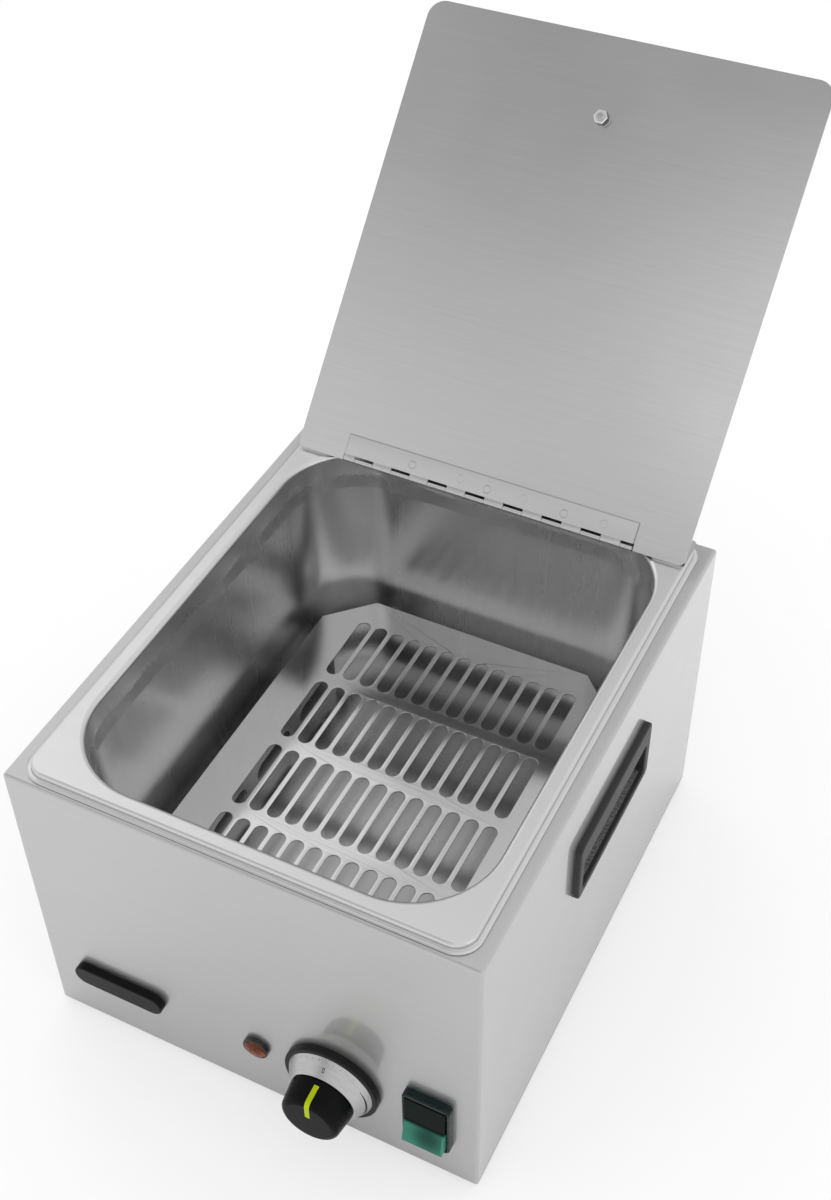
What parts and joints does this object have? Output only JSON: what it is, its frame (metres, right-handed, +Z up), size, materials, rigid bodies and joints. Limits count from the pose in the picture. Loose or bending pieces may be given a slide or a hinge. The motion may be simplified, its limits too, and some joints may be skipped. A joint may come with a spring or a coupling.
{
  "type": "sausage warmer",
  "caption": "Countertop water bath for keeping sausages hot, with a hinged lid on a stop, a lift-out perforated false bottom, thermostat knob, rocker switch and recessed handles.",
  "frame": {"origin": "centre of the casing's footprint, on the surface that the feet stand on", "axes": "+Z up, -Y out of the front panel, +X to the right seen from the front; the lid is open on its stop at rest"},
  "size_m": [0.288, 0.5246, 0.4325],
  "materials": {
    "stainless_steel": "brushed",
    "polished_steel": "drawn and polished",
    "zinc_sheet": "galvanised sheet",
    "bright_steel": "turned",
    "rubber": "matt",
    "silicone": "matt",
    "black_plastic": "satin moulded",
    "black_gloss": "gloss",
    "silver_scale": "satin",
    "indicator_yellow": "gloss",
    "amber_lens": "clear tinted",
    "green_rocker": "clear tinted",
    "inner_plastic": "moulded",
    "copper_parts": "drawn tube",
    "brass_parts": "turned",
    "aluminium_plate": "rolled",
    "heater_sheath": "dark oxidised"
  },
  "bodies": {
    "casing": {"casing_shell": "stainless_steel", "rear_panel": "stainless_steel", "base_plate": "zinc_sheet", "water_tank": "polished_steel", "rear_screws": "bright_steel", "base_screws": "bright_steel", "foot_front_left": "rubber", "foot_front_right": "rubber", "foot_rear_left": "rubber", "foot_rear_right": "rubber", "flange_seal": "silicone", "strip_hinge_leaf": "stainless_steel", "hinge_pin": "bright_steel", "rear_strip": "stainless_steel", "handle_right": "black_plastic", "handle_left": "black_plastic", "badge_plate": "black_gloss", "knob_ring": "black_plastic", "knob_scale": "silver_scale", "thermostat_body": "inner_plastic", "thermostat_screws": "bright_steel", "thermostat_bulb": "copper_parts", "bulb_clip": "stainless_steel", "capillary_tube": "copper_parts", "lamp_bezel": "black_plastic", "lamp_lens": "amber_lens", "lamp_nut": "inner_plastic", "switch_frame": "black_plastic", "rocker_pin": "bright_steel", "switch_terminals": "brass_parts", "cable_gland": "black_plastic", "gland_nut": "black_plastic", "heat_spreader": "aluminium_plate", "heating_element": "heater_sheath", "heater_clamp_front": "zinc_sheet", "heater_clamp_rear": "zinc_sheet", "heater_studs": "bright_steel", "heater_nuts": "bright_steel", "safety_cutout": "inner_plastic", "terminal_block": "inner_plastic", "terminal_screws": "brass_parts", "earth_stud": "brass_parts", "earth_nut": "brass_parts"},
    "lid": {"lid_plate": "stainless_steel", "lid_hinge_leaf": "stainless_steel", "lid_knob": "black_plastic", "lid_knob_stud": "bright_steel", "lid_knob_washer": "bright_steel", "lid_knob_nut": "bright_steel"},
    "knob": {"knob_cap": "black_plastic", "knob_indicator": "indicator_yellow", "thermostat_shaft": "bright_steel"},
    "rocker": {"switch_rocker": "green_rocker"},
    "grate": {"grate": "stainless_steel", "grate_leg_left": "stainless_steel", "grate_leg_right": "stainless_steel"}
  },
  "joints": [
    {"name": "lid_hinge", "type": "hinge", "parent": "casing", "child": "lid", "pos_m": [0, 0.1357, 0.21985], "axis": [1, 0, 0], "range_deg": [0, 132.5]},
    {"name": "knob_turn", "type": "hinge", "parent": "casing", "child": "knob", "pos_m": [0.0511, -0.165, 0.0511], "axis": [0, 1, 0], "range_deg": [0, 270]},
    {"name": "rocker_tilt", "type": "hinge", "parent": "casing", "child": "rocker", "pos_m": [0.1103, -0.164, 0.0551], "axis": [1, 0, 0], "range_deg": [0, 16]},
    {"name": "grate_lift", "type": "slide", "parent": "casing", "child": "grate", "axis": [0, 0, 1], "range_m": [0, 0.105]}
  ]
}
